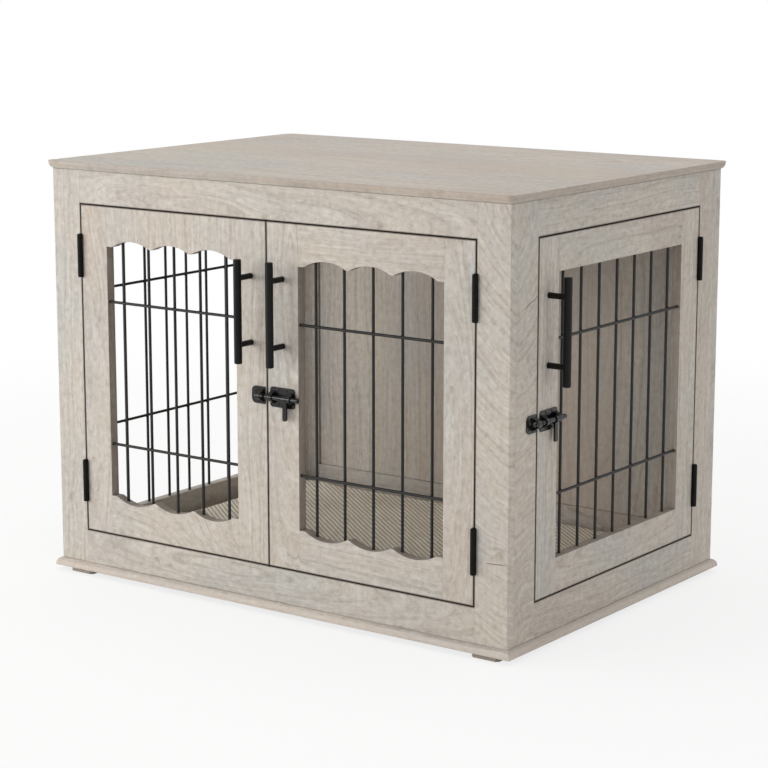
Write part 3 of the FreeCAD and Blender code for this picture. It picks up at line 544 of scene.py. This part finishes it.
# %% Metal finishes
def black_coat(name, sheen, peel, dust, shade, gloss):
    """shade is the coat's screen grey, gloss its specular level."""
    bench = Bench(name)
    x, y, z = bench.place()
    spot = bench.vector(x, y, z)
    fine = bench.noise(spot, 900.0, 2.0)
    broad = bench.noise(spot, 35.0, 3.0, 0.6)
    rounded = bench.soft_edge_normal(0.0006)
    worn = bench.edge_mask(rounded) * bench.step(broad, 0.45, 0.7)
    colour = bench.blend(bench.step(broad, 0.4, 0.75) * dust, rgb(shade, shade, shade),
                         rgb(shade + 26, shade + 24, shade + 22))
    colour = bench.blend(worn * 0.2, colour, rgb(80, 78, 76))
    roughness = sheen + broad * 0.14 + fine * 0.05
    return bench.finish(colour, roughness, bench.bump(fine, 0.00012, peel, rounded),
                        Specular_IOR_Level=gloss)


grille_coat = black_coat("grille_coat", 0.38, 0.35, 0.25, 24, 0.3)
hinge_coat = black_coat("hinge_coat", 0.45, 0.3, 0.2, 12, 0.12)
pull_coat = black_coat("pull_coat", 0.36, 0.2, 0.2, 14, 0.16)
bolt_coat = black_coat("bolt_coat", 0.12, 0.1, 0.06, 7, 0.4)
for name in sorted(nodes):
    if "grille" in name:
        give(name, grille_coat)
    elif "hinge_leaves" in name or name in ("hinge_frame_leaves", "hinge_pins"):
        give(name, hinge_coat)
    elif "pull" in name:
        give(name, pull_coat)
    elif "latch_" in name and "stile" not in name:
        give(name, bolt_coat)
print("grilles, hinges, pulls and bolts are coated")

# %% [markdown]
# ## Feet, screws and dowels
#
# These small parts hide under the table. They still get their own finish, because a viewer may turn the
# table over: moulded feet with a faint grain, zinc screws with a dull bloom, bare beech dowels.

# %% Hidden finishes
def foot_plastic():
    """Moulded, with a fine pebble grain and scuffs."""
    bench = Bench("foot_plastic")
    x, y, z = bench.place()
    pebble = bench.noise(bench.vector(x, y, z), 1500.0, 2.0)
    scuff = bench.noise(bench.vector(x, y * 3, z), 60.0, 4.0, 0.7)
    rounded = bench.soft_edge_normal(0.0008)
    colour = bench.blend(bench.step(scuff, 0.5, 0.75) * 0.5, rgb(150, 141, 130), rgb(172, 163, 152))
    return bench.finish(colour, 0.55 + scuff * 0.2, bench.bump(pebble, 0.0002, 0.4, rounded))


def zinc():
    """Bright plating with a dull bloom."""
    bench = Bench("zinc")
    x, y, z = bench.place()
    bloom = bench.noise(bench.vector(x, y, z), 400.0, 3.0, 0.6)
    colour = bench.blend(bench.step(bloom, 0.4, 0.7) * 0.5, rgb(176, 176, 172), rgb(140, 141, 142))
    rounded = bench.soft_edge_normal(0.0004)
    return bench.finish(colour, 0.28 + bloom * 0.2, bench.bump(bloom, 0.00008, 0.3, rounded), Metallic=1.0)


def beech():
    """Bare turned wood with its grain upright."""
    bench = Bench("beech")
    x, y, z = bench.place()
    grain = bench.noise(bench.vector(x * 14, y * 14, z), 60.0, 3.0, 0.6)
    colour = bench.blend(bench.step(grain, 0.4, 0.7), rgb(206, 172, 130), rgb(176, 138, 98))
    return bench.finish(colour, 0.6 + grain * 0.1, bench.bump(grain, 0.0003, 0.3))


give("feet", foot_plastic())
screw_zinc = zinc()             # the pulls' screws have it too
give("base_screws", screw_zinc)
give("top_dowels", beech())
print("feet, screws and dowels are finished")

# %% [markdown]
# ## Small round heads
#
# Screws hold the bolt plates, keepers and pulls. A head is a low dome turned on a lathe, so its outline is
# spun round an axis, and a cross recess is cut into it with a cutter of two bars. One head is made and then
# copied, each turned by a different amount, because nobody lines up the recesses of real screws.

# %% Screw heads
def link(name, mesh, body, material=None):
    """A new piece that rides on a body."""
    if material:
        coat(mesh, material)
    piece = placed(name, mesh)
    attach(piece, body)
    return piece


def spun(profile, sides):
    """A closed form of revolution round Z from (radius, height) pairs, first and last on the axis."""
    made = bmesh.new()
    rings = []
    for radius, height in profile[1:-1]:
        turn = [2 * math.pi * number / sides for number in range(sides)]
        rings.append([made.verts.new((radius * math.cos(a), radius * math.sin(a), height)) for a in turn])
    foot = made.verts.new((0, 0, profile[0][1]))
    crown = made.verts.new((0, 0, profile[-1][1]))
    for number in range(sides):
        after = (number + 1) % sides
        made.faces.new((foot, rings[0][after], rings[0][number]))
        made.faces.new((crown, rings[-1][number], rings[-1][after]))
        for lower, upper in zip(rings, rings[1:]):
            made.faces.new((lower[number], lower[after], upper[after], upper[number]))
    return made


def poured(name, made):
    """A mesh with the form that was made."""
    mesh = bpy.data.meshes.new(name)
    made.to_mesh(mesh)
    made.free()
    return mesh


def as_mesh(name, made):
    """The same, with all faces turned outwards."""
    bmesh.ops.recalc_face_normals(made, faces=made.faces[:])
    return poured(name, made)


def bars(size, depth, top):
    """Two crossed bars that cut the recess of a head."""
    made = bmesh.new()
    for length, width in ((size, size * 0.3), (size * 0.3, size)):
        fresh = bmesh.ops.create_cube(made, size=1)["verts"]
        bmesh.ops.scale(made, vec=(length, width, depth * 2), verts=fresh)
        bmesh.ops.translate(made, vec=(0, 0, top), verts=fresh)
    return made


def cut_with(mesh, cutter_mesh):
    """The mesh with the cutter's form taken out of it."""
    whole = placed("whole", mesh)
    cutter = placed("cutter", cutter_mesh)
    cut = whole.modifiers.new("cut", "BOOLEAN")
    cut.object = cutter
    cut.use_self = True
    bpy.context.view_layer.update()
    made = bpy.data.meshes.new_from_object(whole.evaluated_get(bpy.context.evaluated_depsgraph_get()))
    for thing in (whole, cutter):
        bpy.data.objects.remove(thing)
    return made


def screw_head(radius, rise):
    """A pan head lying on Z = 0, sunk slightly so that it seats."""
    dome = [(0, -rise * 0.3), (radius * 0.96, -rise * 0.3), (radius, rise * 0.25)]
    dome += [(radius * math.cos(a), rise * (0.25 + 0.75 * math.sin(a))) for a in (0.45, 0.8, 1.15, 1.4)]
    dome += [(0, rise)]
    head = as_mesh("dome", spun(dome, 20))
    return cut_with(head, as_mesh("cross", bars(radius * 1.05, rise * 0.55, rise)))


def many(name, head, places):
    """Copies of a head at (point, outward direction) places, in one mesh."""
    made = bmesh.new()
    for number, (point, outward) in enumerate(places):
        one = head.copy()
        turn = Matrix.Rotation(0.9 * number + 0.35, 4, "Z")
        stand = Vector(outward).to_track_quat("Z", "Y").to_matrix().to_4x4()
        one.transform(Matrix.Translation(point) @ stand @ turn)
        made.from_mesh(one)
        bpy.data.meshes.remove(one)
    return poured(name, made)


print("a screw head can be spun, cut and copied")

# %% [markdown]
# ### Screws on the bolts, keepers and pulls
#
# The plates' screws sit between the guides, above and below the bolt. The two screws of each pull come
# through the stile from behind, so their wide heads show on the back of the door. All places are worked out
# from the boxes of the CAD nodes.

# %% Place the screws
PLATE = 0.0015                  # thickness of a pressed plate
plate_head = screw_head(0.0021, 0.0010)
pull_head = screw_head(0.0041, 0.0019)
OUT_FRONT = Vector((0, -1, 0))
OUT_SIDE = Vector((1, 0, 0))


def on_face(outward, along, depth, level):
    """A point on the front or on the side, from its place along that face."""
    return Vector((along, depth, level) if outward == OUT_FRONT else (depth, along, level))


def plate_places(node, outward, spread, margin):
    """Screw places on a plate: spread lists distances along it from its left end as seen from outside, and
    margin is their distance from its upper and lower edges."""
    low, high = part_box(node)
    front = outward == OUT_FRONT
    start, back = (low.x, high.y - PLATE) if front else (low.y, low.x + PLATE)
    middle = (low.z + high.z) / 2
    half = (high.z - low.z) / 2 - margin
    return [(on_face(outward, start + along, back, middle + side * half), outward)
            for along in spread for side in (-1, 1)]


PLATE_SPREAD = (0.0145, 0.0295)         # between the guides
KEEPER_SPREAD = (0.0062,)
SCREWED = {
    "front_latch_plate": ("right_door", OUT_FRONT, PLATE_SPREAD, 0.0035),
    "side_latch_plate": ("side_door", OUT_SIDE, PLATE_SPREAD, 0.0035),
    "front_latch_keeper": ("left_door", OUT_FRONT, KEEPER_SPREAD, 0.0062),
    "side_latch_keeper": ("cabinet", OUT_SIDE, KEEPER_SPREAD, 0.0062),
}
for node, (body, outward, spread, margin) in SCREWED.items():
    places = plate_places(node, outward, spread, margin)
    link(node + "_screws", many(node + "_screws", plate_head, places), body, bolt_coat)

for door, outward in (("left_door", OUT_FRONT), ("right_door", OUT_FRONT), ("side_door", OUT_SIDE)):
    low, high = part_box(door + "_pull_posts")
    stile_low, stile_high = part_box(door + "_latch_stile")
    axis, inside = (0, stile_high.y) if outward == OUT_FRONT else (1, stile_low.x)
    post_radius = (high[axis] - low[axis]) / 2
    places = [(on_face(outward, (low[axis] + high[axis]) / 2, inside, level), -outward)
              for level in (low.z + post_radius, high.z - post_radius)]
    heads = many(door + "_pull_screws", pull_head, places)
    link(door + "_pull_screws", heads, door, screw_zinc)
print("screws are on", len(SCREWED), "plates and 3 doors")

# %% [markdown]
# ## Welds on the grilles
#
# Where an upright wire crosses a level one, the two are spot welded, which leaves a squeezed lump under the
# coat. Bars that simply pass through each other look drawn rather than made. A weld is a small flattened
# ball, dented by a sine that starts elsewhere on each upright wire.

# %% Weld lumps
WIRE = 0.0042                   # thickness
PITCH = 0.0495                  # between upright wires
SEAT = 0.008                    # depth of the wires' ends in the boards
LUMP_RADIUS = WIRE * 0.72
LUMP_FLATTENING = 0.62
LUMP_DENT = 0.12
grille_body = {"left_door_grille": "left_door", "right_door_grille": "right_door",
               "side_door_grille": "side_door", "left_side_grille": "cabinet"}


def shade_smooth(mesh):
    for polygon in mesh.polygons:
        polygon.use_smooth = True


def weld(centre, outward, number):
    """A dented ball, flattened the way it faces."""
    made = bmesh.new()
    bmesh.ops.create_icosphere(made, subdivisions=2, radius=LUMP_RADIUS)
    for vert in made.verts:
        vert.co *= 1 + LUMP_DENT * math.sin(7 * vert.index + number)
    size = Vector([LUMP_FLATTENING if abs(part) > 0.5 else 1.0 for part in outward])
    bmesh.ops.scale(made, vec=size, verts=made.verts)
    bmesh.ops.translate(made, vec=centre, verts=made.verts)
    return made


def upright_places(low, high):
    """The same even spacing as the wires have, between the seats."""
    start, end = low + SEAT, high - SEAT
    count = round((end - start) / PITCH)
    return [start + (end - start) * (number + 0.5) / count for number in range(count)]


def cross_levels():
    """The heights of the two level wires: the middle of each one's end, read off the right door's grille."""
    mesh = nodes["right_door_grille"].data
    low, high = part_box("right_door_grille")
    ends = sorted({round(vert.co.z, 5) for vert in mesh.vertices if vert.co.x < low.x + 0.0005})
    middle = (low.z + high.z) / 2
    lower = [level for level in ends if level < middle]
    upper = [level for level in ends if level > middle]
    return (lower[0] + lower[-1]) / 2, (upper[0] + upper[-1]) / 2


levels = cross_levels()
for node, body in grille_body.items():
    low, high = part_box(node)
    axis, outward = (1, OUT_SIDE) if "side" in node else (0, OUT_FRONT)
    depth = (low[1 - axis] + high[1 - axis]) / 2
    whole = bmesh.new()
    for number, place in enumerate(upright_places(low[axis], high[axis])):
        for level in levels:
            lump = as_mesh("lump", weld(on_face(outward, place, depth, level), outward, number))
            whole.from_mesh(lump)
            bpy.data.meshes.remove(lump)
    mesh = poured(node + "_welds", whole)
    shade_smooth(mesh)
    link(node + "_welds", mesh, body, grille_coat)
print("welds at levels", [round(level, 4) for level in levels])

# %% [markdown]
# ## The woven mat
#
# The mat is a stuffed pad in a coarse beige twill. Its cloth has its own size, and stuffing pushes it out
# until seams and corners pucker. Those soft dents are hard to draw and easy to simulate: a slightly small
# pad is remeshed finely, blown up as cloth, and held close to the CAD pad so that it stays in its place.

# %% Mat form
PAD_SHRINK = 0.004              # drawn in from the CAD pad all round
MAT_CORNER = 0.034
VOXEL = 0.006
PUFF_LIMIT = 0.009              # farthest that the stuffing moves a point
PUFF_FRAMES = 20
CLEARANCE = 0.0004              # kept from the sides of the CAD pad's box
CROWN_RISE = 0.003


def rounded_outline(half_x, half_y, radius, level, centre, steps=8):
    """Points of a rounded rectangle, corner by corner."""
    points = []
    for quarter, (sx, sy) in enumerate(((1, 1), (-1, 1), (-1, -1), (1, -1))):
        for number in range(steps + 1):
            angle = math.pi / 2 * (quarter + number / steps)
            points.append(Vector((centre.x + sx * (half_x - radius) + radius * math.cos(angle),
                                  centre.y + sy * (half_y - radius) + radius * math.sin(angle), level)))
    return points


def pad_form(low, high):
    """The CAD pad's form, a little smaller: drawn in at the foot, widest at mid-side, crowned."""
    centre = (low + high) / 2
    half = (high - low) / 2
    tall = high.z - low.z
    rows = ((0.010, 0.0), (PAD_SHRINK, 0.35), (PAD_SHRINK + 0.003, 0.62), (0.016, 0.78), (0.09, 0.88),
            (0.17, 0.9))       # (drawn in from the CAD box, share of its height)
    made = bmesh.new()
    loops = []
    for inset, share in rows:
        outline = rounded_outline(half.x - inset, half.y - inset, MAT_CORNER, low.z + tall * share, centre)
        loops.append([made.verts.new(point) for point in outline])
    for lower, upper in zip(loops, loops[1:]):
        for number in range(len(lower)):
            after = (number + 1) % len(lower)
            made.faces.new((lower[number], lower[after], upper[after], upper[number]))
    made.faces.new(loops[-1])
    made.faces.new(loops[0][::-1])
    return as_mesh("mat_pad", made)


mat_low, mat_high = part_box("mat")
mat_pad = link("mat_pad", pad_form(mat_low, mat_high), "cabinet")


def settled(piece, work):
    """Keep what the modifiers have made of a piece. work says what that was."""
    graph = bpy.context.evaluated_depsgraph_get()
    mesh = bpy.data.meshes.new_from_object(piece.evaluated_get(graph))
    piece.modifiers.clear()
    piece.data = mesh
    print("  applied", work, "->", len(mesh.vertices), "points")


remesh = mat_pad.modifiers.new("even", "REMESH")
remesh.mode = "VOXEL"
remesh.voxel_size = VOXEL
settled(mat_pad, "remesh")

# %% [markdown]
# ### Blow it up, then lay it down
#
# Pressure without gravity swells the pad. Each point may move only a few millimetres, and afterwards the
# underside is pressed back flat on the base board, since only there does the real mat lie on something.

# %% Mat simulation
def puff(piece):
    """Blow the pad up as cloth, but let no point move far."""
    start = [vert.co.copy() for vert in piece.data.vertices]
    cloth = piece.modifiers.new("puff", "CLOTH")
    cloth.settings.use_pressure = True
    cloth.settings.uniform_pressure_force = 4
    cloth.settings.quality = 4
    cloth.settings.tension_stiffness = 12
    cloth.settings.compression_stiffness = 12
    cloth.settings.bending_stiffness = 0.4
    cloth.settings.effector_weights.gravity = 0
    scene = bpy.context.scene
    for number in range(1, PUFF_FRAMES + 1):
        scene.frame_set(number)
    settled(piece, "cloth")
    scene.frame_set(1)
    for vert, rest in zip(piece.data.vertices, start):
        move = vert.co - rest
        if move.length > PUFF_LIMIT:
            vert.co = rest + move.normalized() * PUFF_LIMIT


puff(mat_pad)


def lay_down(mesh, low, high):
    """Press the underside flat and keep the pad inside its CAD box."""
    for vert in mesh.vertices:
        vert.co.x = min(max(vert.co.x, low.x + CLEARANCE), high.x - CLEARANCE)
        vert.co.y = min(max(vert.co.y, low.y + CLEARANCE), high.y - CLEARANCE)
        vert.co.z = min(max(vert.co.z, low.z), high.z + CROWN_RISE)


lay_down(mat_pad.data, mat_low, mat_high)
smooth = mat_pad.modifiers.new("smooth", "SUBSURF")
smooth.levels = 1
smooth.render_levels = 1
settled(mat_pad, "subdivision")
shade_smooth(mat_pad.data)
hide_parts("mat")
print("mat", [round(high - low, 3) for low, high in zip(mat_low, mat_high)], "m")

# %% [markdown]
# ### Twill
#
# The cloth is woven with thick slubby yarn: dark diagonal valleys between pale diagonal ridges, and each
# ridge broken into short stitches. Both come from sines of the place on the mat, bent a little by a noise so
# that the lines waver like real yarn, and no unwrapping is needed.

# %% Twill finish
RIDGE = 0.0082                  # from one ridge to the next
STITCH_SHARE = 1.1              # stitches are shorter, and ridges wider, than RIDGE by this share
LEAN = 0.81                     # ridges and stitches lie not quite at 45 degrees
WAVER = 0.0022


def twill():
    """Pale ridges and dark valleys, soiled in places."""
    bench = Bench("twill")
    x, y, z = bench.place()
    waver = bench.noise(bench.vector(x, y, z), 28.0, 2.0)
    u = x + (waver - 0.5) * WAVER
    v = y + z + (waver - 0.5) * WAVER
    ridge_phase = (u * LEAN + v) * (2 * math.pi / RIDGE / STITCH_SHARE)
    stitch_phase = (u - v * LEAN) * (2 * math.pi / RIDGE * STITCH_SHARE)
    ridge = bench.wave(ridge_phase)
    stitch = bench.wave(stitch_phase + bench.wave((u + v) * 400) * 2)
    soiled = bench.noise(bench.vector(x, y, z), 14.0, 2.0)
    yarn = bench.noise(bench.vector(x, y, z), 700.0, 3.0, 0.7)
    slub = bench.noise(bench.vector(x + y, (x - y) * 0.15, z), 90.0, 3.0, 0.6)
    raised = ridge * (0.7 + stitch * 0.3)
    colour = bench.blend(bench.step(slub, 0.35, 0.7), rgb(250, 243, 228), rgb(240, 230, 212))
    colour = bench.blend(bench.step(soiled, 0.46, 0.66) * 0.3, colour, rgb(206, 190, 168))
    colour = bench.blend(bench.step(raised, 0.46, 0.12) * 0.75, colour, rgb(150, 130, 107))
    colour = bench.blend(bench.step(yarn, 0.5, 0.72) * 0.4, colour, rgb(240, 232, 216))
    height = raised + yarn * 0.35
    return bench.finish(colour, 0.86 + yarn * 0.1, bench.bump(height, 0.0012, 0.6),
                        Sheen_Weight=0.25, Sheen_Roughness=0.5, Specular_IOR_Level=0.2)


twill_cloth = twill()
coat(mat_pad.data, twill_cloth)

# %% [markdown]
# ### The seam
#
# Top and side panels meet in a corded seam round the mat. It is laid on the finished pad by finding the
# nearest point of its surface all the way round, which a hand-drawn line would miss where the cloth puckers.

# %% Corded seam
SEAM_DROP = 0.009               # below the CAD pad's top
SEAM_STEP = 0.012               # between the points of the cord
CORD_RADIUS = 0.0016


def seam(pad, low, high, level, radius):
    """A closed cord on the pad's side at a level."""
    tree = BVHTree.FromPolygons([vert.co for vert in pad.data.vertices],
                                [polygon.vertices for polygon in pad.data.polygons])
    centre = (low + high) / 2
    half = (high - low) / 2
    curve = bpy.data.curves.new("mat_seam", "CURVE")
    curve.dimensions = "3D"
    curve.bevel_depth = radius
    curve.bevel_resolution = 3
    line = curve.splines.new("POLY")
    outline = rounded_outline(half.x, half.y, MAT_CORNER, level, centre, 10)
    dense = []
    for first, second in zip(outline, outline[1:] + outline[:1]):
        count = max(1, round((second - first).length / SEAM_STEP))
        dense += [first.lerp(second, number / count) for number in range(count)]
    hits = [tree.find_nearest(point)[0] for point in dense]
    line.points.add(len(hits) - 1)
    for place, hit in zip(line.points, hits):
        place.co = (*hit, 1)
    line.use_cyclic_u = True
    piece = placed("mat_seam", curve)
    coat(curve, twill_cloth)
    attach(piece, "cabinet")
    return len(hits)


print("seam of", seam(mat_pad, mat_low, mat_high, mat_high.z - SEAM_DROP, CORD_RADIUS), "points")

# %% [markdown]
# ## Floor and light
#
# The photograph has a pure white ground and broad, even light, most of it from the front and the left.
# White could be had by flooding the scene with light, but that would bleach the oak. Here the floor and the
# world are bright only to the camera and to reflections, and the lamps stay at a level where a colour renders
# as written. The floor mixes in some true diffuse, so that it keeps the table's soft shadow.

# %% Stage
def seen_directly(bench):
    """1 for camera, mirror and glass rays."""
    camera_ray, glossy, through = bench.node(
        "ShaderNodeLightPath", out=("Is Camera Ray", "Is Glossy Ray", "Is Transmission Ray"))
    return camera_ray.larger(glossy.larger(through))


FLOOR_HALF = 12                 # metres
FLOOR_GLOW = 0.78               # share of plain white near the table; the rest shows the shadow
SHADOW_REACH = (1.0, 2.2)       # metres from the table, where the floor fades to plain white


def floor_finish():
    """Plain white to the camera, with some of the table's shadow near it."""
    bench = Bench("pale_floor")
    x, y, _ = bench.place()
    away = bench.step((x * x + y * y) ** 0.5, *SHADOW_REACH)
    lit = bench.node("ShaderNodeBsdfDiffuse", inputs={"Color": (0.9, 0.9, 0.9, 1)})
    white = bench.node("ShaderNodeEmission", inputs={"Color": (1, 1, 1, 1), "Strength": 1.0})
    share = seen_directly(bench) * (away * (1 - FLOOR_GLOW) + FLOOR_GLOW)
    bench.node_out(bench.node("ShaderNodeMixShader", inputs={0: share, 1: lit, 2: white}))
    return bench.material


floor_form = bmesh.new()
bmesh.ops.create_grid(floor_form, x_segments=4, y_segments=4, size=FLOOR_HALF)
floor = placed("floor", poured("floor", floor_form))
coat(floor.data, floor_finish())

world = bpy.data.worlds.new("studio")
bpy.context.scene.world = world
sky = Bench("studio", world)
ambient = sky.node("ShaderNodeBackground", inputs={"Color": (1.0, 0.995, 0.985, 1), "Strength": 0.64})
bright = sky.node("ShaderNodeBackground", inputs={"Color": (1, 1, 1, 1), "Strength": 1.0})
both = sky.node("ShaderNodeMixShader", inputs={0: seen_directly(sky), 1: ambient, 2: bright})
sky.node_out(both, "ShaderNodeOutputWorld")


def softbox(name, place, aim, size, watts):
    """A wide soft lamp that looks at a point."""
    lamp = bpy.data.lights.new(name, "AREA")
    lamp.shape = "RECTANGLE"
    lamp.size = size[0]
    lamp.size_y = size[1]
    lamp.energy = watts
    lamp.color = (1.0, 0.99, 0.975)
    stand = placed(name, lamp)
    stand.location = place
    stand.rotation_euler = (Vector(aim) - Vector(place)).to_track_quat("-Z", "Y").to_euler()


softbox("key_box", (-2.1, -3.7, 1.15), (0, -0.2, 0.35), (1.2, 1.0), 44)
softbox("left_box", (-2.9, -2.1, 0.75), (0, 0.15, 0.25), (1.5, 1.3), 40)
softbox("top_box", (-0.4, 0.2, 3.0), (0, 0, 0.6), (2.2, 2.0), 19)
softbox("side_box", (3.9, 0.1, 0.6), (0, 0, 0.35), (1.4, 1.3), 16)
print("floor, world and four softboxes")

# %% [markdown]
#
# The plain Standard view shows colours as they are.

# %% Finish
bpy.context.scene.view_settings.view_transform = "Standard"
